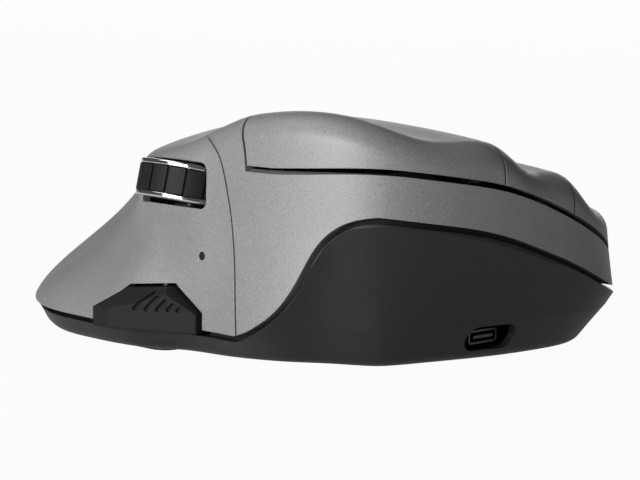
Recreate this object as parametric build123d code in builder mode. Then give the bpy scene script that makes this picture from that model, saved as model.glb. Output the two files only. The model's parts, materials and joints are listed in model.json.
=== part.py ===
from build123d import *
import os
from math import atan2, cos, degrees, hypot, pi, radians, sin

# ------------------------------------------------------------------ driving dimensions, mm
body_length = 124.0  # heel to button tips
body_width = 92.5  # thumb wing to little-finger side
body_height = 47.6  # crest above the surface the feet stand on
skin = 2.0  # wall of the top mouldings
base_wall = 2.0  # wall and floor of the base
shoulder_radius = 5.0  # rounding where the top turns into the sides
foot_height = 0.8
shadow_gap = 1.1  # groove below the buttons and above the base
fine_gap = 0.4  # seams between neighbouring top mouldings
lip_height = 1.0  # upright band of the base just below its seam
base_edge_radius = 3.0

finger_pitch = 18.2  # one finger groove
finger_dip = 2.4  # depth of a finger groove
running_gap = 0.05  # radial, pin in bore
contact_gap = 0.3  # between pieces that pass each other
press_gap = 1.0  # room under a button's plunger, more than its travel
pin_radius = 1.0
screw_radius = 1.1
screw_head_radius = 2.2
screw_head_height = 1.5
boss_radius = 3.2
board_thickness = 1.2
board_height = 6.4  # underside of the main board

wheel_radius = 11.0
wheel_width = 7.2
wheel_hub_radius = 7.8
wheel_ring_width = 1.1
wheel_ring_inset = 0.1  # the rings stand inside the tyre's tread
wheel_ribs = 18
wheel_groove = (0.5, 0.45)  # width and depth between ribs
hub_dish_depth = 0.8
wheel_tilt = 14.0  # degrees the axle leans
wheel_slot_clearance = 0.9
wheel_slot_headroom = 0.5  # above the wheel, under the crest
slot_corner = 1.6
axle_radius = 1.25
carrier_wall = 1.6

rocker_height = 8.2
rocker_gap = 0.6
rocker_groove_width = 0.7
rocker_groove_depth = 0.5
rocker_nose_gap = 0.5  # from each nose to its switch
tact_height = 2.2

usb_width, usb_height = 11.0, 4.8
socket_width, socket_height, socket_depth = 7.5, 2.6, 5.6
led_hole_radius = 0.8

switch_size = (12.8, 5.8, 6.5)  # snap-action switch, along X, Y and Z
switch_actuator = (2.8, 1.2, 1.1)
battery_size = (34.0, 24.0, 8.0)
sensor_size = (10.0, 16.0, 2.6)
knob_travel = 2.4
lug_width = 2.0

# ------------------------------------------------------------------ the casing's form
# Rim stations, anticlockwise from the thumb side, drawn for a casing of the size below:
# x, y, how far the wall has leaned in 15, 30 and 48 mm up, and how far the base is undercut.
drawn_length, drawn_width, drawn_height = 124.0, 92.5, 47.6
STATIONS = (
    (-41.5, -20.0, 0.9, 2.2, 3.6, 3.8),
    (-39.2, -37.0, 0.9, 2.2, 3.6, 8.6),
    (-31.5, -51.5, 0.9, 2.2, 3.6, 9.6),
    (-16.0, -59.0, 0.9, 2.2, 3.6, 11.3),
    (4.0, -61.0, 0.9, 2.2, 3.6, 10.0),
    (22.0, -57.5, 0.9, 2.2, 3.6, 8.5),
    (34.2, -46.6, 0.9, 2.4, 4.5, 8.0),
    (41.4, -27.0, 0.9, 3.0, 6.0, 8.0),
    (43.5, 0.0, 1.2, 4.0, 9.0, 8.0),
    (40.0, 29.0, 2.5, 8.0, 16.0, 8.0),
    (27.0, 51.0, 4.0, 12.0, 25.0, 7.0),
    (4.0, 63.0, 5.0, 14.5, 31.0, 6.0),
    (-22.0, 58.0, 8.5, 23.0, 38.0, 5.5),
    (-38.5, 43.3, 11.0, 25.0, 38.0, 4.0),
    (-47.2, 28.0, 9.8, 21.5, 30.0, 3.4),
    (-48.8, 14.0, 8.0, 14.6, 19.5, 3.2),
    (-47.8, 3.0, 5.2, 9.0, 11.5, 2.8),
    (-44.4, -3.5, 2.8, 5.2, 7.5, 1.2),
    (-42.2, -9.0, 1.0, 2.4, 4.0, 1.2),
)
x_scale = body_width / drawn_width
y_scale = body_length / drawn_length
z_scale = body_height / drawn_height
wall_steps, bowl_steps = 1, 3  # outline points per station


def between(table, t, closed):
    """Catmull-Rom value and slope at t, counted in rows, of a table of tuples."""
    i = int(t) if closed else min(int(t), len(table) - 2)
    u = t - i
    index = (lambda k: k % len(table)) if closed else (lambda k: min(max(k, 0), len(table) - 1))
    rows = [table[index(i + k)] for k in (-1, 0, 1, 2)]
    values, slopes = [], []
    for a, b, c, d in zip(*rows):
        m, n = (c - a) / 2, (d - b) / 2
        cubic, square = 2 * b - 2 * c + m + n, -3 * b + 3 * c - 2 * m - n
        values.append(((cubic * u + square) * u + m) * u + b)
        slopes.append((3 * cubic * u + 2 * square) * u + m)
    return values, slopes


def smooth(t):
    """Ease from 0 to 1."""
    t = min(max(t, 0.0), 1.0)
    return t * t * (3 - 2 * t)


def along(table, x):
    """Height at x of a smooth curve through (x, height) pairs, level past its ends."""
    x = min(max(x, table[0][0]), table[-1][0])
    i = 0
    while i < len(table) - 2 and x > table[i + 1][0]:
        i += 1
    slope = []
    for k in (i, i + 1):
        a, b = table[max(k - 1, 0)], table[min(k + 1, len(table) - 1)]
        slope.append((b[1] - a[1]) / (b[0] - a[0]))
    (x0, z0), (x1, z1) = table[i], table[i + 1]
    h = x1 - x0
    t = (x - x0) / h
    left = (2 * t**3 - 3 * t**2 + 1) * z0 + (t**3 - 2 * t**2 + t) * h * slope[0]
    return left + (3 * t**2 - 2 * t**3) * z1 + (t**3 - t**2) * h * slope[1]


# Seams and the spine, as heights for the drawn casing; each runs on level past its ends.
BUTTON_SEAM = ((-38.4, 37.4), (-34.7, 38.2), (-23.8, 37.5), (-14.4, 35.9), (-6.8, 34.3), (1.7, 31.5),
               (11.4, 27.4), (22.1, 22.2), (32.0, 17.0))
BASE_ARCH = ((-37.0, 29.2), (-30.0, 28.9), (-23.7, 27.9), (-15.5, 26.5), (-6.0, 24.1), (3.9, 20.4),
             (11.0, 17.6), (21.7, 13.0), (32.0, 10.4))
BASE_LOW = ((-36.0, 5.2), (-20.0, 6.0), (4.0, 8.0), (32.0, 10.4))
BASE_SWEEP = ((-58.0, 29.4), (-50.0, 29.0), (-47.2, 28.6), (-44.0, 27.3), (-40.3, 24.0), (-36.6, 17.2),
              (-32.7, 11.3), (-28.2, 7.8), (-23.9, 5.7), (-20.0, 4.9))
SPINE = ((-75, 38.5), (-62, 40.6), (-50, 42.1), (-38, 43.0), (-26, 43.5), (-12, 43.1), (2, 41.6),
         (16, 38.3), (30, 34.0), (44, 28.5), (58, 18.0), (72, 5.0))
index_edge = -6.8 * x_scale  # seam between the index and middle buttons



def base_seam(x, y):
    """Height of the seam above the base: an arch in front, swept down on the thumb side."""
    x, y = x / x_scale, y / y_scale
    return z_scale * max(min(along(BASE_ARCH, x), along(BASE_SWEEP, y)), along(BASE_LOW, x))


def roof(x, y):
    """Height of the top skin: a tilted saddle with three finger grooves fading out rearwards."""
    across = (x - index_edge) / x_scale
    tilt = 0.31 - 0.20 * smooth((y / y_scale + 45) / 55)
    height = along(SPINE, y / y_scale) - tilt * across - 0.0044 * across * across
    if across < 0:
        ease = smooth((y / y_scale + 22) / 20) + 0.9 * smooth((y / y_scale - 5) / 25)
        height -= 0.0032 * across * across * ease
    pitch = finger_pitch if x > index_edge else 26.0 * x_scale
    fade = smooth((-18 - y / y_scale) / 30)
    return z_scale * height - finger_dip * fade * (1 - cos(2 * pi * (x - index_edge) / pitch)) / 2


WALL_LEVELS = (0.0, 5.0, 15.0, 30.0, 48.0)
BOWL_LEVELS = (foot_height, 8.0, 14.0, 20.0, 26.0, 32.0)
bowl_overhang = 5.0  # how far the bowl may pass outside the casing, where it no longer matters


def ring(inset_at, extra, steps):
    """Points of the outline whose inset from the rim is inset_at(x, y, columns)."""
    points = []
    for k in range(len(STATIONS) * steps):
        values, slopes = between(STATIONS, k / steps, closed=True)
        dx, dy = slopes[0] * x_scale, slopes[1] * y_scale
        size = hypot(dx, dy)
        x, y = values[0] * x_scale, values[1] * y_scale
        inset = inset_at(x, y, values[2:]) + extra
        points.append((x - inset * dy / size, y + inset * dx / size))
    return points


def wall_ring(level, extra):
    def inset(x, y, columns):
        return dict(zip(WALL_LEVELS, (0.4, 0.0, *columns[:3])))[level]

    return ring(inset, extra, wall_steps)


def bowl_ring(level, extra):
    def inset(x, y, columns):
        crease = (base_seam(x, y) - lip_height) / z_scale
        leans = tuple(zip(WALL_LEVELS, (0.4, 0.0, *columns[:3])))
        return along(leans, level) + max(columns[3] * (1 - level / crease), -bowl_overhang)

    return ring(inset, extra, bowl_steps)


def stack(levels, ring_at, extra, ruled):
    """Closed outlines, one above the other, lofted into a solid."""
    with BuildPart() as solid:
        for level in levels:
            with BuildSketch(Plane.XY.offset(level * z_scale)):
                with BuildLine():
                    Spline(*ring_at(level, extra), periodic=True)
                make_face()
        loft(ruled=ruled)
    return solid.part


grid_pitch = 3.0
grid_reach = (60.0 * x_scale, 78.0 * y_scale)


def sheet(height, shift):
    """Surface z = height(x, y) + shift over the whole plan."""
    nx, ny = (int(2 * reach / grid_pitch) for reach in grid_reach)
    rows = []
    for j in range(ny + 1):
        y = grid_reach[1] * (2 * j / ny - 1)
        xs = [grid_reach[0] * (2 * i / nx - 1) for i in range(nx + 1)]
        rows.append([Vector(x, y, height(x, y) + shift) for x in xs])
    return Face.make_surface_from_array_of_points(rows, tol=0.02)


reach = 110.0 * max(x_scale, y_scale, z_scale)  # longer than anything here


def scaled(table, first, second=z_scale):
    return [(a * first, b * second) for a, b in table]


def raised(points, grow):
    """The same line moved square to itself, upwards for a positive amount."""
    moved = []
    for i, (a, b) in enumerate(points):
        before, after = points[max(i - 1, 0)], points[min(i + 1, len(points) - 1)]
        da, db = after[0] - before[0], after[1] - before[1]
        size = hypot(da, db)
        moved.append((a - grow * db / size, b + grow * da / size))
    return moved


def profile(plane, points, grow=0.0):
    """Prism through the whole casing below a smooth line."""
    line = raised(points, grow)
    with BuildPart() as prism:
        with BuildSketch(plane):
            with BuildLine():
                Spline(*line)
                Polyline(line[-1], (reach, line[-1][1]), (reach, -reach), (-reach, -reach),
                         (-reach, line[0][1]), line[0])
            make_face()
        extrude(amount=reach, both=True)
    return prism.part


XZ = Plane.XZ
YZ = Plane.YZ


def below_seam(grow):
    """Everything below the base seam; grow moves the seam square to itself."""
    with BuildPart() as block:
        add(profile(XZ, scaled(BASE_ARCH, x_scale), grow))
        add(profile(YZ, scaled(BASE_SWEEP, y_scale), grow), mode=Mode.INTERSECT)
        add(profile(XZ, scaled(BASE_LOW, x_scale), grow))
    return block.part


def under(height, shift=0.0):
    """Everything below a height surface."""
    with BuildPart() as block:
        extrude(sheet(height, shift), amount=reach, dir=(0, 0, -1))
    return block.part


# ------------------------------------------------------------------ forms shared by the mouldings
def casing(inset=0.0, edge=0.0):
    """The closed outer form, or the same form a wall further in."""
    with BuildPart() as form:
        add(stack(WALL_LEVELS, wall_ring, inset, ruled=False))
        add(under(roof, -inset), mode=Mode.INTERSECT)
        if edge:
            fillet(form.faces().sort_by(Axis.Z)[-1].edges(), edge)
    return form.part


outer_form = casing(edge=shoulder_radius)
inner_form = casing(skin, shoulder_radius - skin)
bowl_form = stack(BOWL_LEVELS, bowl_ring, 0.0, ruled=True)
inner_bowl = stack(BOWL_LEVELS, bowl_ring, base_wall, ruled=True)
skin_core = casing(skin / 2, shoulder_radius - skin / 2)  # where posts end inside the skin
base_top = below_seam(-shadow_gap / 2)
upper_bottom = below_seam(shadow_gap / 2)

ring_edge = index_edge + 2 * finger_pitch
REAR_SEAM = ((-60.0, -23.0), (30.0, -23.0), (37.0, -22.8), (42.0, -21.8), (46.0, -20.0), (60.0, -18.5))
PANEL_SEAM = ((-10.0, -23.4), (5.2, -23.1), (14.3, -21.9), (21.5, -20.6), (27.9, -19.3), (32.4, -18.1),
              (36.9, -16.6), (39.2, -15.3), (40.9, -13.2), (42.0, -9.5), (46.0, -3.0))
PANEL_TOP = ((-14.0, -33.0), (-8.0, -28.5), (0.0, -26.5), (12.0, -26.0), (26.0, -28.5), (38.0, -33.0),
             (50.0, -42.0))


def upright(plane, table, first, second, side, shift=0.0):
    """Prism beside a line that runs up (or along) the casing; the table is (along, across)."""
    line = raised([(a * first, b * second) for a, b in table], shift)
    with BuildPart() as prism:
        with BuildSketch(plane):
            with BuildLine():
                Spline(*[(b, a) for a, b in line])
                (a0, b0), (a1, b1) = line[0], line[-1]
                Polyline((b1, a1), (b1, reach), (side * reach, reach), (side * reach, -reach),
                         (b0, -reach), (b0, a0))
            make_face()
        extrude(amount=reach, both=True)
    return prism.part


def block(x, y, z):
    """Solid box between pairs of limits."""
    with BuildPart() as box:
        with BuildSketch(Plane.XY.offset(z[0])):
            with Locations(((x[0] + x[1]) / 2, (y[0] + y[1]) / 2)):
                Rectangle(x[1] - x[0], y[1] - y[0])
        extrude(amount=z[1] - z[0])
    return box.part


def rod(x, y, z, radius):
    """Upright cylinder between two heights."""
    with BuildPart() as cylinder:
        with BuildSketch(Plane.XY.offset(z[0])):
            with Locations((x, y)):
                Circle(radius)
        extrude(amount=z[1] - z[0])
    return cylinder.part


def button_zone(left, right, rise, rear_shift):
    """Space above the button seam between two finger seams and before the rear seam."""
    with BuildPart() as zone:
        add(block((left, right), (-reach, 0), (0, reach)))
        add(profile(XZ, scaled(BUTTON_SEAM, x_scale), rise), mode=Mode.SUBTRACT)
        add(upright(YZ, REAR_SEAM, z_scale, y_scale, -1, rear_shift), mode=Mode.INTERSECT)
    return zone.part


def panel_zone(shift):
    with BuildPart() as zone:
        add(upright(YZ, PANEL_SEAM, z_scale, y_scale, 1, -shift))
        add(upright(Plane.XY, PANEL_TOP, y_scale, x_scale, -1, shift), mode=Mode.INTERSECT)
    return zone.part


def slab(plane, x, y, z):
    """Box in a plane's own axes between pairs of limits."""
    with BuildPart() as box:
        with BuildSketch(plane.offset(z[0])):
            with Locations(((x[0] + x[1]) / 2, (y[0] + y[1]) / 2)):
                Rectangle(x[1] - x[0], y[1] - y[0])
        extrude(amount=z[1] - z[0])
    return box.part


def post(x, y, bottom, radius):
    """Upright post from a height up into the skin above it."""
    with BuildPart() as column:
        add(rod(x, y, (bottom, reach), radius))
        add(skin_core, mode=Mode.INTERSECT)
    return column.part


def about(x, y):
    """A place given for the drawn casing."""
    return x * x_scale, y * y_scale


# ------------------------------------------------------------------ where things are
everywhere = (-reach, reach)
floor_top = foot_height + base_wall
board_top = board_height + board_thickness
boss_foot = foot_height + base_wall / 2
frame_bottom = board_top + 3.4
frame_thickness = 1.8
frame_top = frame_bottom + frame_thickness
frame_x = (-25.0 * x_scale, index_edge + 2 * finger_pitch - 2.0)
frame_y = (-44.0 * y_scale, -11.0 * y_scale)
frame_inset = 3.4
frame_post_inset = 11.0  # clear of the switches in front and the hinges behind
frame_posts = [(x, y) for x in (frame_x[0] + frame_inset, frame_x[1] - frame_inset)
               for y in (frame_y[0] + frame_post_inset, frame_y[1] - frame_post_inset)]
split_height = 12.0  # where the screw posts of base and top meet
case_screws = {"little_finger": about(29.0, -5.0), "palm": about(25.0, 25.0), "heel": about(0.0, 51.0)}
panel_screw = about(-34.0, 25.0)
carrier_post = about(-18.6, -0.4)
carrier_foot = board_top + 2.0
board_posts = (about(19.0, 9.0), about(-20.0, 12.0))
board_x = (-24.0 * x_scale, 24.0 * x_scale)
board_y = (-45.0 * y_scale, 15.5 * y_scale)
usb_x = -4.3 * x_scale
usb_z = board_height - socket_height / 2
usb_wall_y = -52.4 * y_scale
sensor_x, sensor_y = about(0.0, -5.0)
battery_x, battery_y = about(0.0, 32.0)
knob_x, knob_y = about(-10.0, 8.5)
dpi_place = about(11.0, -21.0)
pairing_place = about(-11.0, -21.0)
knob_size = (4.6, 2.6)
push_radius = 2.4
push_flange = 0.8

wheel_centre = (-32.5 * x_scale, -0.4 * y_scale, 31.0 * z_scale)
lean = radians(wheel_tilt)
wheel_plane = Plane(wheel_centre, x_dir=(cos(lean), 0, -sin(lean)), z_dir=(sin(lean), 0, cos(lean)))

rocker_y = -1.2 * y_scale
rocker_bottom = 5.0 * z_scale
rocker_top = rocker_bottom + rocker_height
pivot_x = -40.0 * x_scale
pivot = (pivot_x, rocker_y)
rocker_noses = (rocker_y - 9.0, rocker_y + 9.0)
thumb_board_x = -34.6 * x_scale  # its outer face
led_y, led_z = -11.9 * y_scale, 19.5 * z_scale

screw_seat = foot_height + screw_head_height + 0.2
window = (8.4, 6.8)
frame_corner = 5.0
button_rear_gap = 0.6
tongue_foot_y = -26.0 * y_scale
hinge_y = -14.5 * y_scale
switch_y = -41.0 * y_scale
tongue_width = 9.0
tongue_thickness = 2.0
barrel_radius = 2.1
plunger_radius = 1.6
pin_length = tongue_width + 2 * (contact_gap + lug_width) + 0.6
plunger_drop = 3.0  # how far a plunger hangs below the inside of its button
FINGERS = {
    "index": (-reach, index_edge - fine_gap / 2, -17.0 * x_scale),
    "middle": (index_edge + fine_gap / 2, index_edge + finger_pitch - fine_gap / 2,
               index_edge + finger_pitch / 2),
    "ring": (index_edge + finger_pitch + fine_gap / 2, ring_edge - fine_gap,
             index_edge + 1.5 * finger_pitch),
}


def hinge_height(x):
    edge = min(roof(x - pin_length / 2, hinge_y), roof(x + pin_length / 2, hinge_y))
    return edge - skin - contact_gap - barrel_radius - 0.6


def switch_top(x):
    return roof(x, switch_y) - skin - plunger_drop - press_gap


os.makedirs("parts", exist_ok=True)

# ------------------------------------------------------------------ base
with BuildPart() as base_hollow:
    add(inner_bowl)
    add(stack(WALL_LEVELS, wall_ring, base_wall, ruled=False), mode=Mode.INTERSECT)
    add(block(everywhere, everywhere, (floor_top, reach)), mode=Mode.INTERSECT)

with BuildPart() as base_posts:
    for x, y in [*case_screws.values(), panel_screw]:
        add(rod(x, y, (boss_foot, split_height), boss_radius))
    for x, y in frame_posts:
        add(rod(x, y, (boss_foot, frame_bottom), boss_radius))
    for x, y in board_posts:
        add(rod(x, y, (boss_foot, board_height), boss_radius))
    add(rod(*carrier_post, (boss_foot, carrier_foot), boss_radius))
    add(rod(*pivot, (boss_foot, rocker_bottom - contact_gap), pin_radius + 1.0))

with BuildPart() as base_cuts:
    for x, y in [*case_screws.values(), panel_screw]:
        add(rod(x, y, (0, split_height), screw_radius))
        add(rod(x, y, (0, screw_seat), screw_head_radius + contact_gap))
    for x, y in frame_posts:
        add(rod(x, y, (floor_top, frame_bottom), screw_radius))
    for x, y in board_posts:
        add(rod(x, y, (floor_top, board_height), screw_radius))
    add(rod(*carrier_post, (floor_top, carrier_foot), screw_radius))
    add(rod(*pivot, (floor_top, rocker_bottom), pin_radius))
    # the sensor's window, the slide switch's slot and the two push buttons
    add(block((sensor_x - window[0] / 2, sensor_x + window[0] / 2),
              (sensor_y - window[1] / 2, sensor_y + window[1] / 2), (0, floor_top)))
    slot = (knob_size[0] + knob_travel) / 2 + contact_gap
    width = knob_size[1] / 2 + running_gap
    add(block((knob_x - slot, knob_x + slot), (knob_y - width, knob_y + width), (0, floor_top)))
    for x, y in (dpi_place, pairing_place):
        add(rod(x, y, (0, floor_top), push_radius + running_gap))
    # the recess for a plug, through the front wall
    with BuildSketch(Plane.XZ.offset(-usb_wall_y - 5.0)):
        with Locations((usb_x, usb_z)):
            SlotOverall(usb_width, usb_height)
    extrude(amount=10.0)

with BuildPart() as base_shell:
    add(bowl_form)
    add(stack(WALL_LEVELS, wall_ring, 0.0, ruled=False), mode=Mode.INTERSECT)
    add(base_hollow.part, mode=Mode.SUBTRACT)
    add(base_top, mode=Mode.INTERSECT)
    fillet(base_shell.faces().sort_by(Axis.Z)[0].edges(), base_edge_radius)
    add(base_posts.part)
    add(base_cuts.part, mode=Mode.SUBTRACT)

# ------------------------------------------------------------------ top mouldings
with BuildPart() as top_shell:
    add(outer_form)
    add(inner_form, mode=Mode.SUBTRACT)
    add(upper_bottom, mode=Mode.SUBTRACT)

with BuildPart() as top_zones:
    add(button_zone(-reach, ring_edge, -shadow_gap, 0.0))
    add(panel_zone(0.0))

with BuildPart() as top_posts:
    for x, y in case_screws.values():
        add(rod(x, y, (split_height, reach), boss_radius))
    add(skin_core, mode=Mode.INTERSECT)
    for x, y in case_screws.values():
        add(rod(x, y, (split_height - 1, split_height + 5), screw_radius), mode=Mode.SUBTRACT)

with BuildPart() as upper_shell:
    add(top_shell.part)
    add(top_zones.part, mode=Mode.SUBTRACT)
    add(top_posts.part)

slot_half = wheel_width / 2 + wheel_slot_clearance
slot_reach = wheel_radius + wheel_slot_clearance

# The rocker's outline: along the wall in plan, its side view and its end view.
ROCKER_PLAN = ((-38.0, -12.6), (-42.6, -12.6), (-48.2, -1.2), (-50.2, 4.5), (-50.4, 8.6), (-46.0, 10.0),
               (-38.0, 10.0))
ROCKER_SIDE = ((-12.6, 5.0), (10.0, 5.0), (10.0, 7.4), (4.6, 12.2), (-5.6, 13.2), (-12.6, 8.6))
ROCKER_END = ((-38.0, 5.0), (-51.0, 5.0), (-51.0, 8.2), (-43.8, 13.2), (-38.0, 13.2))


# Five slanted grip grooves, as (along, height) ends.
ROCKER_GROOVES = (((-3.6, 12.1), (-1.2, 9.1)), ((-5.4, 11.5), (-3.3, 9.1)), ((-6.9, 10.8), (-5.4, 9.1)),
                  ((-8.3, 10.2), (-7.4, 9.2)), ((-9.6, 9.6), (-9.2, 9.2)))


def outline_prism(plane, points, grow, depth):
    with BuildPart() as prism:
        with BuildSketch(plane):
            with BuildLine():
                Polyline(*points, close=True)
            make_face()
            if grow:
                offset(amount=grow, kind=Kind.INTERSECTION)
        extrude(amount=depth, both=True)
    return prism.part


def rocker_form(grow):
    with BuildPart() as form:
        add(outline_prism(Plane.XY, scaled(ROCKER_PLAN, x_scale, y_scale), grow, reach))
        add(outline_prism(YZ, scaled(ROCKER_SIDE, y_scale), grow, reach), mode=Mode.INTERSECT)
        add(outline_prism(XZ, scaled(ROCKER_END, x_scale), grow, reach), mode=Mode.INTERSECT)
    return form.part


rocker_room = rocker_form(rocker_gap)
lug_bottom = ROCKER_SIDE[4][1] * z_scale + 2 * contact_gap
lug_top = lug_bottom + 2.2
pin_top = lug_top - 0.8

with BuildPart() as panel_posts:
    add(rod(*panel_screw, (split_height, reach), boss_radius))
    add(block((pivot_x - 6.0, pivot_x + 1.8), (rocker_y - 2.4, rocker_y + 2.4), (lug_bottom, lug_top)))
    add(skin_core, mode=Mode.INTERSECT)

with BuildPart() as wheel_slot:
    add(slab(wheel_plane, (-3 * wheel_radius, slot_reach), (-slot_reach, slot_reach),
             (-slot_half, wheel_width / 2 + wheel_slot_headroom)))
    fillet(wheel_slot.edges().filter_by(Axis(wheel_centre, wheel_plane.x_dir)), slot_corner)

with BuildPart() as panel_cuts:
    add(wheel_slot.part)
    add(rocker_room)
    add(rod(*pivot, (rocker_bottom, pin_top), pin_radius))
    add(rod(*panel_screw, (split_height - 1, split_height + 5), screw_radius))
    with BuildSketch(Plane.YZ):
        with Locations((led_y, led_z)):
            Circle(led_hole_radius)
    extrude(amount=-reach)

with BuildPart() as thumb_panel:
    add(top_shell.part)
    add(panel_zone(-fine_gap), mode=Mode.INTERSECT)
    add(panel_posts.part)
    add(panel_cuts.part, mode=Mode.SUBTRACT)

gasket_wall = 1.0
gasket_gap = 0.05
gasket_overlap = 1.6
with BuildPart() as gasket_inside:
    add(stack(BOWL_LEVELS, bowl_ring, base_wall + gasket_wall, ruled=True))
    add(stack(WALL_LEVELS, wall_ring, skin + gasket_wall, ruled=False), mode=Mode.INTERSECT)

with BuildPart() as seam_gasket:
    add(stack(BOWL_LEVELS, bowl_ring, base_wall + gasket_gap, ruled=True))
    add(stack(WALL_LEVELS, wall_ring, skin + gasket_gap, ruled=False), mode=Mode.INTERSECT)
    add(gasket_inside.part, mode=Mode.SUBTRACT)
    add(below_seam(shadow_gap / 2 + gasket_overlap), mode=Mode.INTERSECT)
    add(below_seam(-shadow_gap / 2 - gasket_overlap), mode=Mode.SUBTRACT)
    add(rocker_room, mode=Mode.SUBTRACT)

# ------------------------------------------------------------------ buttons and what they press
buttons = {}
for name, (left, right, x) in FINGERS.items():
    z = hinge_height(x)
    with BuildPart() as stem:
        with BuildSketch(YZ.offset(x - tongue_width / 2)):
            with Locations((hinge_y, z)):
                Circle(barrel_radius)
            with Locations(((hinge_y + tongue_foot_y) / 2, z)):
                Rectangle(hinge_y - tongue_foot_y, tongue_thickness)
        extrude(amount=tongue_width)
        with BuildSketch(YZ.offset(x - tongue_width / 2)):
            with Locations((hinge_y, z)):
                Circle(pin_radius + running_gap)
        extrude(amount=tongue_width, mode=Mode.SUBTRACT)
    with BuildPart() as riser:
        add(block((x - tongue_width / 2, x + tongue_width / 2),
                  (tongue_foot_y, tongue_foot_y + tongue_thickness), (z - tongue_thickness / 2, reach)))
        add(rod(x, switch_y, (switch_top(x) + press_gap, reach), plunger_radius))
        add(skin_core, mode=Mode.INTERSECT)
    with BuildPart() as button:
        add(top_shell.part)
        add(button_zone(left, right, 0.0, -button_rear_gap), mode=Mode.INTERSECT)
        add(riser.part)
        add(stem.part)
    buttons[name] = button.part

with BuildPart() as button_frame:
    with BuildSketch(Plane.XY.offset(frame_bottom)):
        with Locations((sum(frame_x) / 2, sum(frame_y) / 2)):
            RectangleRounded(frame_x[1] - frame_x[0], frame_y[1] - frame_y[0], frame_corner)
        with Locations(*frame_posts):
            Circle(screw_radius, mode=Mode.SUBTRACT)
    extrude(amount=frame_thickness)
    for name, (left, right, x) in FINGERS.items():
        z = hinge_height(x)
        for side in (-1, 1):
            near = side * (tongue_width / 2 + contact_gap)
            far = near + side * lug_width
            add(block(sorted((x + near, x + far)), (hinge_y - barrel_radius, hinge_y + barrel_radius),
                      (frame_top, z + barrel_radius)))
        with BuildSketch(YZ.offset(x - pin_length / 2)):
            with Locations((hinge_y, z)):
                Circle(pin_radius)
        extrude(amount=pin_length, mode=Mode.SUBTRACT)
        seat = switch_top(x) - switch_actuator[2] - switch_size[2] - board_thickness
        add(block((x - switch_size[0] / 2, x + switch_size[0] / 2),
                  (switch_y - switch_size[1] / 2, switch_y + switch_size[1] / 2), (frame_top, seat)))

pieces = {}
for name, (left, right, x) in FINGERS.items():
    z = hinge_height(x)
    with BuildPart() as pin:
        with BuildSketch(YZ.offset(x - pin_length / 2)):
            with Locations((hinge_y, z)):
                Circle(pin_radius)
        extrude(amount=pin_length)
    top = switch_top(x) - switch_actuator[2]
    half = [size / 2 for size in switch_size[:2]]
    with BuildPart() as switch:
        add(block((x - half[0], x + half[0]), (switch_y - half[1], switch_y + half[1]),
                  (top - switch_size[2], top)))
        add(block((x - switch_actuator[0] / 2, x + switch_actuator[0] / 2),
                  (switch_y - switch_actuator[1] / 2, switch_y + switch_actuator[1] / 2),
                  (top, top + switch_actuator[2])))
    bottom = top - switch_size[2]
    pieces[f"{name}_hinge_pin"] = pin.part
    pieces[f"{name}_switch"] = switch.part
    pieces[f"{name}_switch_board"] = block((x - half[0] - 0.6, x + half[0] + 0.6),
                                           (switch_y - half[1] - 0.8, switch_y + half[1] + 0.8),
                                           (bottom - board_thickness, bottom))

# ------------------------------------------------------------------ scroll wheel
half_wheel = wheel_width / 2
arm_inside = half_wheel + contact_gap
arm_outside = arm_inside + carrier_wall
web = (wheel_radius + 1.4, wheel_radius + 4.0)
arm_half = 3.2
encoder_size = (9.0, 9.0, 2.6)


def disc(low, high, outer, inner):
    with BuildPart() as ring_shape:
        with BuildSketch(wheel_plane.offset(low)):
            Circle(outer)
            Circle(inner, mode=Mode.SUBTRACT)
        extrude(amount=high - low)
    return ring_shape.part


tread = (-half_wheel + wheel_ring_width, half_wheel - wheel_ring_width)
with BuildPart() as wheel_tyre:
    add(disc(*tread, wheel_radius, wheel_hub_radius))
    with BuildSketch(wheel_plane.offset(tread[0])):
        with PolarLocations(wheel_radius, wheel_ribs):
            Rectangle(2 * wheel_groove[1], wheel_groove[0])
    extrude(amount=tread[1] - tread[0], mode=Mode.SUBTRACT)

with BuildPart() as wheel_hub:
    add(disc(-half_wheel, half_wheel, wheel_hub_radius, axle_radius + running_gap))
    for low in (-half_wheel, half_wheel - hub_dish_depth):
        add(disc(low, low + hub_dish_depth, wheel_hub_radius - 1.4, axle_radius + 1.4),
            mode=Mode.SUBTRACT)

for name, low in (("wheel_ring_lower", -half_wheel), ("wheel_ring_upper", tread[1])):
    with BuildPart() as trim:
        add(disc(low, low + wheel_ring_width, wheel_radius - wheel_ring_inset, wheel_hub_radius))
        outside = trim.edges().filter_by(GeomType.CIRCLE).group_by(SortBy.RADIUS)[-1]
        fillet(outside, wheel_ring_width / 3)
    pieces[name] = trim.part

encoder_bottom = -arm_outside - encoder_size[2]
with BuildPart() as carrier_arms:
    for low in (arm_inside, -arm_outside):
        with BuildSketch(wheel_plane.offset(low)):
            Circle(arm_half)
            with Locations((web[1] / 2, 0)):
                Rectangle(web[1], 2 * arm_half)
            Circle(axle_radius, mode=Mode.SUBTRACT)
        extrude(amount=carrier_wall)
    add(slab(wheel_plane, web, (-arm_half, arm_half), (-arm_outside, arm_outside)))

post_x, post_y = carrier_post
with BuildPart() as wheel_carrier:
    add(carrier_arms.part)
    add(block((post_x - arm_half, post_x + arm_half), (post_y - arm_half, post_y + arm_half),
              (carrier_foot, wheel_centre[2] - arm_outside / 2)))
    add(rod(*carrier_post, (carrier_foot, carrier_foot + 5.0), screw_radius), mode=Mode.SUBTRACT)

with BuildPart() as wheel_axle:
    with BuildSketch(wheel_plane.offset(encoder_bottom)):
        Circle(axle_radius)
    extrude(amount=arm_outside - encoder_bottom)

with BuildPart() as wheel_encoder:
    add(slab(wheel_plane, (-arm_half, encoder_size[0] - arm_half),
             (-encoder_size[1] / 2, encoder_size[1] / 2), (encoder_bottom, -arm_outside)))
    add(wheel_axle.part, mode=Mode.SUBTRACT)

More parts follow.
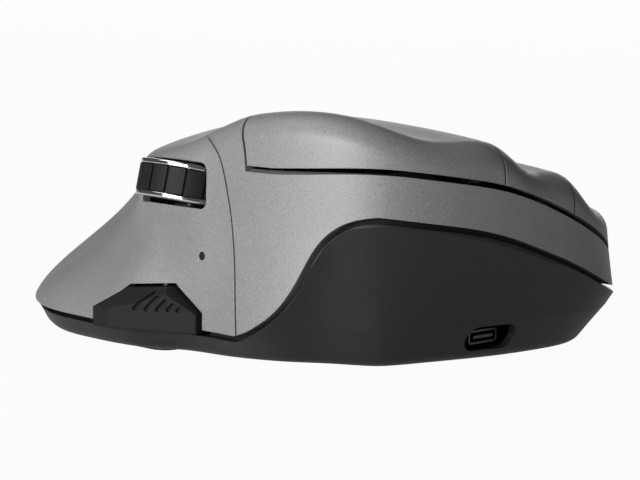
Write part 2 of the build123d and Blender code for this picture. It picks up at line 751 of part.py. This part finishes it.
# ------------------------------------------------------------------ thumb rocker
with BuildPart() as rocker_grooves:
    for (y0, z0), (y1, z1) in ROCKER_GROOVES:
        with BuildSketch(YZ):
            middle = ((y0 + y1) / 2 * y_scale, (z0 + z1) / 2 * z_scale)
            with Locations(Location(middle, degrees(atan2(z1 - z0, y1 - y0)))):
                SlotCenterToCenter(hypot(y1 - y0, z1 - z0), rocker_groove_width)
        extrude(amount=-reach)
    add(rocker_form(-rocker_groove_depth), mode=Mode.SUBTRACT)

with BuildPart() as rocker_button:
    add(rocker_form(0.0))
    for y in rocker_noses:
        add(block((ROCKER_PLAN[0][0] * x_scale - 1.0, thumb_board_x - tact_height - rocker_nose_gap),
                  (y - 1.2, y + 1.2), (rocker_bottom + 1.0, rocker_bottom + 4.0)))
    add(rod(*pivot, (0, reach), pin_radius + running_gap), mode=Mode.SUBTRACT)
    add(rocker_grooves.part, mode=Mode.SUBTRACT)

with BuildPart() as rocker_pin:
    add(rod(*pivot, (floor_top + running_gap, pin_top), pin_radius))

board_y0, board_y1 = -15.0 * y_scale, 11.0 * y_scale
with BuildPart() as thumb_board:
    add(block((thumb_board_x, thumb_board_x + board_thickness), (board_y0, board_y1),
              (floor_top + 1.0, rocker_top)))
    add(block((thumb_board_x, thumb_board_x + board_thickness), (board_y0, led_y + 2.6),
              (floor_top + 1.0, led_z + 2.6)))

with BuildPart() as board_clips:
    for y in (board_y0, board_y1 - 2.4):
        add(block((thumb_board_x - 1.6, thumb_board_x + board_thickness + 1.6), (y, y + 2.4),
                  (boss_foot, rocker_bottom)))
    add(thumb_board.part, mode=Mode.SUBTRACT)

for name, y in zip(("front", "rear"), rocker_noses):
    with BuildPart() as tact:
        add(block((thumb_board_x - tact_height + 0.8, thumb_board_x), (y - 2.2, y + 2.2),
                  (rocker_bottom + 0.3, rocker_bottom + 4.7)))
        add(block((thumb_board_x - tact_height, thumb_board_x), (y - 0.8, y + 0.8),
                  (rocker_bottom + 1.7, rocker_bottom + 3.3)))
    pieces[f"rocker_switch_{name}"] = tact.part

led_depth = 2.8
with BuildPart() as status_led:
    with BuildSketch(YZ.offset(thumb_board_x - led_depth)):
        with Locations((led_y, led_z)):
            Circle(1.5)
    extrude(amount=led_depth)

pipe_end = -40.3 * x_scale
with BuildPart() as light_pipe:
    with BuildSketch(YZ.offset(pipe_end)):
        with Locations((led_y, led_z)):
            Circle(led_hole_radius - running_gap)
    extrude(amount=thumb_board_x - led_depth - pipe_end)

# ------------------------------------------------------------------ boards, sensor, power
with BuildPart() as main_board:
    with BuildSketch(Plane.XY.offset(board_height)):
        with Locations((sum(board_x) / 2, sum(board_y) / 2)):
            RectangleRounded(board_x[1] - board_x[0], board_y[1] - board_y[0], 7.0)
        with Locations((usb_x, board_y[0])):
            Rectangle(socket_width + 4.0, 8.0)
        with Locations(*frame_posts, carrier_post):
            Circle(boss_radius + contact_gap, mode=Mode.SUBTRACT)
        with Locations(*board_posts):
            Circle(screw_radius, mode=Mode.SUBTRACT)
        with Locations((sensor_x, sensor_y)):
            Rectangle(6.0, 5.0, mode=Mode.SUBTRACT)
    extrude(amount=board_thickness)

socket_front = usb_wall_y + base_wall + contact_gap
with BuildPart() as usb_socket:
    add(block((usb_x - socket_width / 2, usb_x + socket_width / 2),
              (socket_front, socket_front + socket_depth), (usb_z - socket_height / 2, board_height)))
    fillet(usb_socket.edges().filter_by(Axis.Y), 0.6)
    with BuildSketch(Plane.XZ.offset(-socket_front)):
        with Locations((usb_x, usb_z)):
            Rectangle(socket_width - 0.8, socket_height - 0.8)
            Rectangle(socket_width - 2.4, 0.6, mode=Mode.SUBTRACT)
    extrude(amount=-socket_depth + 1.0, mode=Mode.SUBTRACT)

sensor_chip = block((sensor_x - sensor_size[0] / 2, sensor_x + sensor_size[0] / 2),
                    (sensor_y - sensor_size[1] / 2, sensor_y + sensor_size[1] / 2),
                    (board_top, board_top + sensor_size[2]))

with BuildPart() as sensor_lens:
    for across, deep, low, high in ((window[0] - 0.6, window[1] - 0.6, foot_height + 0.6, floor_top),
                                    (window[0] + 5.0, window[1] + 3.6, floor_top, floor_top + 1.2),
                                    (5.4, 4.4, floor_top + 1.2, board_top)):
        add(block((sensor_x - across / 2, sensor_x + across / 2),
                  (sensor_y - deep / 2, sensor_y + deep / 2), (low, high)))

battery_bottom = floor_top + 1.2
half_x, half_y = battery_size[0] / 2, battery_size[1] / 2
with BuildPart() as battery:
    add(block((battery_x - half_x, battery_x + half_x), (battery_y - half_y, battery_y + half_y),
              (battery_bottom, battery_bottom + battery_size[2])))
    fillet(battery.edges().filter_by(Axis.Y), 2.0)

tray_wall = 1.2
with BuildPart() as battery_tray:
    add(block((battery_x - half_x - tray_wall - 0.1, battery_x + half_x + tray_wall + 0.1),
              (battery_y - half_y - tray_wall - 0.1, battery_y + half_y + tray_wall + 0.1),
              (floor_top, battery_bottom + battery_size[2] / 2)))
    add(block((battery_x - half_x - 0.1, battery_x + half_x + 0.1),
              (battery_y - half_y - 0.1, battery_y + half_y + 0.1), (battery_bottom, reach)),
        mode=Mode.SUBTRACT)

knob_top = board_height - 2.4
with BuildPart() as power_switch_body:
    add(block((knob_x - 5.0, knob_x + 5.0), (knob_y - 2.2, knob_y + 2.2),
              (knob_top + contact_gap, board_height)))
with BuildPart() as power_switch_knob:
    add(block((knob_x - knob_travel / 2 - knob_size[0] / 2, knob_x - knob_travel / 2 + knob_size[0] / 2),
              (knob_y - knob_size[1] / 2, knob_y + knob_size[1] / 2), (foot_height + 0.3, knob_top)))

for name, (x, y) in (("dpi", dpi_place), ("pairing", pairing_place)):
    with BuildPart() as push:
        add(rod(x, y, (foot_height + 0.2, floor_top + running_gap), push_radius))
        add(rod(x, y, (floor_top + running_gap, floor_top + push_flange), push_radius + 0.8))
    pieces[f"{name}_button"] = push.part
    with BuildPart() as tact:
        add(block((x - 2.2, x + 2.2), (y - 2.2, y + 2.2), (board_height - 1.6, board_height)))
    pieces[f"{name}_switch"] = tact.part

# ------------------------------------------------------------------ feet and screws
for name, (x, y), (wide, deep) in (("front_foot", about(2.0, -37.0), (30.0, 7.0)),
                                   ("rear_foot", about(2.0, 42.0), (30.0, 7.0)),
                                   ("thumb_foot", about(-37.5, 10.0), (7.0, 22.0))):
    with BuildPart() as foot:
        with BuildSketch():
            with Locations((x, y)):
                RectangleRounded(wide, deep, min(wide, deep) / 2 - 0.1)
        extrude(amount=foot_height)
    pieces[name] = foot.part

foot_rim = (4.8, 4.6)  # around the sensor's window
with BuildPart() as sensor_foot:
    with BuildSketch():
        with Locations((sensor_x, sensor_y)):
            RectangleRounded(window[0] + 2 * foot_rim[0], window[1] + 2 * foot_rim[1], 3.0)
            Rectangle(*window, mode=Mode.SUBTRACT)
    extrude(amount=foot_height)
pieces["sensor_foot"] = sensor_foot.part


def screw(x, y, seat, length, way):
    """Pan-head screw; way is +1 when it points up from its seat."""
    with BuildPart() as fastener:
        for low, high, radius in ((seat - screw_head_height * way, seat, screw_head_radius),
                                  (seat, seat + length * way, screw_radius)):
            add(rod(x, y, (min(low, high), max(low, high)), radius))
    return fastener.part


for name, (x, y) in {**case_screws, "thumb_panel": panel_screw}.items():
    pieces[f"case_screw_{name}"] = screw(x, y, screw_seat, split_height + 4.0 - screw_seat, 1)
for i, (x, y) in enumerate(frame_posts):
    pieces[f"frame_screw_{i + 1}"] = screw(x, y, frame_top, frame_thickness + 5.0, -1)
for i, (x, y) in enumerate(board_posts):
    pieces[f"board_screw_{i + 1}"] = screw(x, y, board_top, board_thickness + 3.0, -1)

with BuildPart() as base_finished:
    add(base_shell.part)
    add(board_clips.part)

pieces.update({
    "base_shell": base_finished.part,
    "upper_shell": upper_shell.part,
    "thumb_panel": thumb_panel.part,
    "seam_gasket": seam_gasket.part,
    "button_frame": button_frame.part,
    "wheel_tyre": wheel_tyre.part,
    "wheel_hub": wheel_hub.part,
    "wheel_axle": wheel_axle.part,
    "wheel_encoder": wheel_encoder.part,
    "wheel_carrier": wheel_carrier.part,
    "rocker_button": rocker_button.part,
    "rocker_pin": rocker_pin.part,
    "thumb_board": thumb_board.part,
    "status_led": status_led.part,
    "light_pipe": light_pipe.part,
    "main_board": main_board.part,
    "usb_socket": usb_socket.part,
    "sensor_chip": sensor_chip,
    "sensor_lens": sensor_lens.part,
    "battery": battery.part,
    "battery_tray": battery_tray.part,
    "power_switch_body": power_switch_body.part,
    "power_switch_knob": power_switch_knob.part,
})
for name, shape in buttons.items():
    pieces[f"{name}_button"] = shape
for name, shape in pieces.items():
    shape.label = name
    export_step(shape, f"parts/{name}.step")
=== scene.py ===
import json
from math import cos, radians, sin

import bmesh
import bpy
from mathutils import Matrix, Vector


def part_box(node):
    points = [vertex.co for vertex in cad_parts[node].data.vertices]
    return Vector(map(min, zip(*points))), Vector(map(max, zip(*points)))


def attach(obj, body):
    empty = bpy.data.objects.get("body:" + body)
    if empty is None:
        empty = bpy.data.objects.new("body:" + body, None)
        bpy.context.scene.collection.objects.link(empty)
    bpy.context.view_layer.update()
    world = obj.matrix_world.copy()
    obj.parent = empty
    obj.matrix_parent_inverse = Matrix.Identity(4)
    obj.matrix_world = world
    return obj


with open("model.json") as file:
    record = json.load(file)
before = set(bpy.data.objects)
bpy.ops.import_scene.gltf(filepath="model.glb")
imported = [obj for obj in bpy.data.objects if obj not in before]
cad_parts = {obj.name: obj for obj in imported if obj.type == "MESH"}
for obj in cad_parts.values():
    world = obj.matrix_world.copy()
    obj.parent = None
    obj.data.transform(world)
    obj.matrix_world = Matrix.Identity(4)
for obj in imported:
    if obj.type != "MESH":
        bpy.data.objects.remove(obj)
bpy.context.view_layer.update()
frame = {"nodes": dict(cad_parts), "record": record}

MM = 0.001
nodes = frame["nodes"]
WHITE = (1.0, 1.0, 1.0, 1.0)

# The charging socket's fine pieces, in mm.
tongue_width, tongue_thickness, tongue_setback, tongue_rounding = 4.2, 0.5, 1.2, 0.1
contact_count, contact_pitch, contact_rounding = 5, 0.65, 0.05
contact_size = (0.35, 3.0, 0.16)
contact_depth, contact_drop = 2.2, 0.32  # from the socket's mouth and its middle

# The stage: how much of the floor's own white the camera and reflections see, and its own grey.
floor_half, floor_grey, floor_roughness = 3.0, 0.62, 0.9
floor_seen, floor_mirrored = 0.96, 0.3
ambient_strength = 0.07
lens_mm, camera_azimuth, camera_elevation, camera_distance = 169.8, -42.0, 8.0, 0.600
camera_target = Vector((0.0, 0.0, 17.5 * MM))
lamp_target = (0.0, 0.0, 20 * MM)


# ------------------------------------------------------------------ shader helpers
class Socket:
    """An output socket that adds Math nodes when it meets an operator."""

    def __init__(self, shader, output):
        self.shader, self.output = shader, output

    def math(self, operation, *values):
        return self.shader.node("ShaderNodeMath", {"operation": operation}, dict(enumerate(values)))

    def __add__(self, other):
        return self.math("ADD", self, other)

    __radd__ = __add__

    def __sub__(self, other):
        return self.math("SUBTRACT", self, other)

    def __rsub__(self, other):
        return self.math("SUBTRACT", other, self)

    def __mul__(self, other):
        return self.math("MULTIPLY", self, other)

    __rmul__ = __mul__


class Shader:
    """A new material and the one way its nodes are made."""

    def __init__(self, name):
        self.material = bpy.data.materials.new(name)
        self.material.use_nodes = True
        self.tree = self.material.node_tree
        self.tree.nodes.clear()

    def node(self, kind, settings=None, inputs=None, output=0):
        made = self.tree.nodes.new(kind)
        for key, value in (settings or {}).items():
            setattr(made, key, value)
        for key, value in (inputs or {}).items():
            if isinstance(value, Socket):
                self.tree.links.new(value.output, made.inputs[key])
            else:
                made.inputs[key].default_value = value
        return Socket(self, made.outputs[output])

    def place(self):
        """Points of the surface, in metres, in the object's own frame."""
        return self.node("ShaderNodeTexCoord", output="Object")

    def grain(self, scale, detail=2.0, roughness=0.5):
        """Noise about 0.5, with features about 1/scale metres across."""
        inputs = {"Vector": self.place(), "Scale": scale, "Detail": detail, "Roughness": roughness}
        return self.node("ShaderNodeTexNoise", inputs=inputs)

    def between(self, mask, dark, light):
        """A colour part of the way from dark to light."""
        return self.node("ShaderNodeMix", {"data_type": "RGBA"},
                         {0: mask, 6: (*dark, 1.0), 7: (*light, 1.0)}, output=2)

    def softened(self, radius):
        """Normals rounded over every edge."""
        return self.node("ShaderNodeBevel", {"samples": 6}, {"Radius": radius})

    def bump(self, height, depth, normal=None):
        inputs = {"Height": height, "Distance": depth}
        if normal:
            inputs["Normal"] = normal
        return self.node("ShaderNodeBump", inputs=inputs)

    def finish(self, **inputs):
        named = {key.replace("_", " "): value for key, value in inputs.items()}
        surface = self.node("ShaderNodeBsdfPrincipled", inputs=named)
        self.node_output(surface)
        return self.material

    def node_output(self, surface):
        output = self.tree.nodes.new("ShaderNodeOutputMaterial")
        self.tree.links.new(surface.output, output.inputs["Surface"])


# ------------------------------------------------------------------ finishes
def shell_paint():
    """Warm grey paint with a fine metallic flake over moulded plastic."""
    s = Shader("shell paint")
    flake, cloud = (s.grain(4200.0, 1.0) - 0.5) * 2.2 + 0.5, s.grain(60.0)
    colour = s.between(flake * 0.75 + cloud * 0.25, (0.200, 0.199, 0.195), (0.370, 0.368, 0.362))
    normal = s.bump(flake, 0.000022, s.softened(0.00022))
    return s.finish(Base_Color=colour, Metallic=0.3, Roughness=0.44 + flake * 0.16,
                    Coat_Weight=0.08, Coat_Roughness=0.4, Normal=normal)


def moulded(name, dark, light, roughness=0.45, texture=1800.0, depth=0.000012, edge=0.0002,
            gloss=0.35):
    """Plastic or rubber with a moulded texture and slight cloudiness."""
    s = Shader(name)
    texture_grain, cloud = s.grain(texture, 3.0), s.grain(45.0)
    colour = s.between(texture_grain * 0.5 + cloud * 0.5, dark, light)
    return s.finish(Base_Color=colour, Roughness=roughness - 0.06 + cloud * 0.12,
                    Specular_IOR_Level=gloss, Normal=s.bump(texture_grain, depth, s.softened(edge)))


def metal(name, colour, roughness, grain=900.0):
    """Metal with faint tooling marks and smudges."""
    s = Shader(name)
    smudge, line = s.grain(140.0), s.grain(grain, 1.0)
    dark = tuple(value * 0.86 for value in colour)
    return s.finish(Base_Color=s.between(smudge, dark, colour), Metallic=1.0,
                    Roughness=roughness + smudge * 0.06,
                    Normal=s.bump(line, 0.000002, s.softened(0.00015)))


def circuit_board():
    """Green solder mask with a faint raised cell pattern."""
    s = Shader("circuit board")
    cells = s.node("ShaderNodeTexVoronoi", {"distance": "MANHATTAN"},
                   {"Vector": s.place(), "Scale": 420.0})
    colour = s.between(cells, (0.012, 0.105, 0.042), (0.030, 0.200, 0.085))
    return s.finish(Base_Color=colour, Roughness=0.32 + s.grain(80.0) * 0.1,
                    Normal=s.bump(cells, 0.00002))


def clear_plastic(name, tint):
    """Clear moulding with a slight tint."""
    s = Shader(name)
    return s.finish(Base_Color=s.between(s.grain(90.0), tint, (1.0, 1.0, 1.0)),
                    Roughness=0.05 + s.grain(300.0) * 0.05, Transmission_Weight=0.85, IOR=1.49)


finishes = {
    "shell_grey": shell_paint(),
    "base_black": moulded("base plastic", (0.013, 0.013, 0.013), (0.022, 0.022, 0.022), 0.42),
    # Seam gasket: the real inner lip at the bottom of the seam groove, coloured near-black and darker
    # than the base as painted shade of the groove.
    "gasket_black": moulded("gasket rubber with painted groove shade", (0.004, 0.004, 0.004), (0.008, 0.008, 0.008), 0.7),
    "tyre_black": moulded("tyre rubber", (0.006, 0.0065, 0.008), (0.013, 0.014, 0.017), 0.55, 1500.0,
                          gloss=0.22),
    "ring_chrome": metal("polished ring", (0.88, 0.88, 0.87), 0.07),
    "rocker_black": moulded("rocker rubber", (0.008, 0.008, 0.009), (0.016, 0.016, 0.017), 0.62, 1600.0,
                            0.00002, 0.0005, 0.2),
    "inner_plastic": moulded("inner plastic", (0.020, 0.020, 0.021), (0.035, 0.035, 0.037), 0.6, 900.0),
    "steel": metal("ground steel", (0.58, 0.57, 0.55), 0.28, 1600.0),
    "board_green": circuit_board(),
    "switch_body": moulded("switch plastic", (0.010, 0.010, 0.011), (0.020, 0.020, 0.022), 0.3),
    "lens_clear": clear_plastic("clear lens", (0.90, 0.93, 0.95)),
    "battery_wrap": moulded("battery wrap", (0.03, 0.05, 0.14), (0.05, 0.08, 0.20), 0.3, 400.0),
    "smoked": moulded("smoked light pipe", (0.002, 0.002, 0.002), (0.004, 0.004, 0.004), 0.2),
    "dark_nickel": metal("dark nickel", (0.10, 0.10, 0.105), 0.3, 1600.0),
    "foot_ptfe": moulded("glide foot", (0.030, 0.030, 0.032), (0.050, 0.050, 0.054), 0.35, 1200.0),
}

special = {"light_pipe": "smoked", "usb_socket": "dark_nickel", "rocker_pin": "dark_nickel",
           "wheel_axle": "dark_nickel"}
for part in frame["record"]["subparts"]:
    piece = nodes[part["node"]]
    piece.data.materials.clear()
    piece.data.materials.append(finishes[special.get(part["node"], part["material_slot"])])


# ------------------------------------------------------------------ fine pieces
def middle(node):
    """Centre and size of a node's box."""
    low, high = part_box(node)
    return (Vector(low) + Vector(high)) / 2, Vector(high) - Vector(low)


def add_piece(name, mesh, body, finish):
    """Puts a mesh on a body, in one of the finishes."""
    mesh.materials.append(finishes[finish])
    piece = bpy.data.objects.new(name, mesh)
    bpy.context.scene.collection.objects.link(piece)
    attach(piece, body)
    return piece


def rounded_bar(name, centre, size, radius):
    """A bar with rolled edges, as a mesh."""
    shape = bmesh.new()
    bmesh.ops.create_cube(shape, size=1.0)
    bmesh.ops.scale(shape, vec=size, verts=shape.verts)
    bmesh.ops.bevel(shape, geom=shape.edges[:], offset=radius, segments=3, profile=0.5, affect="EDGES")
    bmesh.ops.translate(shape, vec=centre, verts=shape.verts)
    mesh = bpy.data.meshes.new(name)
    shape.to_mesh(mesh)
    shape.free()
    return mesh


def socket_contacts():
    """The tongue of the charging socket and its five contacts."""
    centre, size = middle("usb_socket")
    front = centre.y - size.y / 2
    tongue_size = (tongue_width * MM, size.y - tongue_setback * MM, tongue_thickness * MM)
    tongue = rounded_bar("socket_tongue", centre + Vector((0, tongue_setback / 3 * MM, 0)), tongue_size,
                         tongue_rounding * MM)
    add_piece("socket_tongue", tongue, "body", "inner_plastic")
    for k in range(contact_count):
        x = centre.x + (k - contact_count // 2) * contact_pitch * MM
        place = Vector((x, front + contact_depth * MM, centre.z - contact_drop * MM))
        name = f"socket_contact_{k + 1}"
        bar = rounded_bar(name, place, Vector(contact_size) * MM, contact_rounding * MM)
        add_piece(name, bar, "body", "steel")


# ------------------------------------------------------------------ stage, lights, camera
def stage_material():
    """Pale floor that shows white to the camera and keeps the shadow."""
    s = Shader("floor")
    grey = (floor_grey, floor_grey, floor_grey, 1.0)
    surface = s.node("ShaderNodeBsdfPrincipled",
                     inputs={"Base Color": grey, "Roughness": floor_roughness})
    glow = s.node("ShaderNodeEmission", inputs={"Color": WHITE, "Strength": 1.0})
    camera_ray = s.node("ShaderNodeLightPath", output="Is Camera Ray")
    glossy_ray = s.node("ShaderNodeLightPath", output="Is Glossy Ray")
    seen = camera_ray * floor_seen + glossy_ray * floor_mirrored
    s.node_output(s.node("ShaderNodeMixShader", inputs={0: seen, 1: surface, 2: glow}))
    return s.material


def build_stage():
    """The floor."""
    shape = bmesh.new()
    bmesh.ops.create_grid(shape, x_segments=2, y_segments=2, size=floor_half)
    mesh = bpy.data.meshes.new("floor")
    shape.to_mesh(mesh)
    shape.free()
    floor = bpy.data.objects.new("floor", mesh)
    mesh.materials.append(stage_material())
    bpy.context.scene.collection.objects.link(floor)


def softbox(name, place, size, watts, colour=(1, 1, 1)):
    """A rectangular lamp that faces the mouse."""
    light = bpy.data.lights.new(name, "AREA")
    light.shape, light.size, light.size_y = "RECTANGLE", size[0], size[1]
    light.energy, light.color = watts, colour
    lamp = bpy.data.objects.new(name, light)
    lamp.location = place
    lamp.rotation_mode = "QUATERNION"
    lamp.rotation_quaternion = (Vector(lamp_target) - Vector(place)).to_track_quat("-Z", "Y")
    bpy.context.scene.collection.objects.link(lamp)


def build_world():
    """White to the camera, and a weak even light."""
    world = bpy.data.worlds.new("studio")
    bpy.context.scene.world = world
    world.use_nodes = True
    tree = world.node_tree
    tree.nodes.clear()
    paths = tree.nodes.new("ShaderNodeLightPath")
    mix = tree.nodes.new("ShaderNodeMixShader")
    ambient, white = (tree.nodes.new("ShaderNodeBackground") for _ in range(2))
    ambient.inputs["Color"].default_value = WHITE
    ambient.inputs["Strength"].default_value = ambient_strength
    white.inputs["Color"].default_value = WHITE
    output = tree.nodes.new("ShaderNodeOutputWorld")
    tree.links.new(paths.outputs["Is Camera Ray"], mix.inputs[0])
    tree.links.new(ambient.outputs[0], mix.inputs[1])
    tree.links.new(white.outputs[0], mix.inputs[2])
    tree.links.new(mix.outputs[0], output.inputs["Surface"])


def build_camera():
    """A long lens at the front corner on the thumb side, low over the desk."""
    azimuth, elevation = radians(camera_azimuth), radians(camera_elevation)
    back = Vector((sin(azimuth) * cos(elevation), -cos(azimuth) * cos(elevation), sin(elevation)))
    camera = bpy.data.objects.new("camera", bpy.data.cameras.new("camera"))
    camera.data.lens = lens_mm
    camera.location = camera_target + back * camera_distance
    camera.rotation_mode = "QUATERNION"
    camera.rotation_quaternion = (-back).to_track_quat("-Z", "Y")
    bpy.context.scene.collection.objects.link(camera)
    bpy.context.scene.camera = camera


bpy.context.scene.view_settings.view_transform = "Standard"
build_camera()
build_world()
build_stage()
softbox("key light", (-1.15, -0.15, 0.22), (0.8, 0.6), 15.5, (1.0, 0.995, 0.985))
softbox("top light", (-0.5, 0.4, 1.0), (0.7, 0.7), 3.6)
softbox("rear light", (0.95, 0.75, 0.30), (0.9, 0.5), 3.2)
socket_contacts()
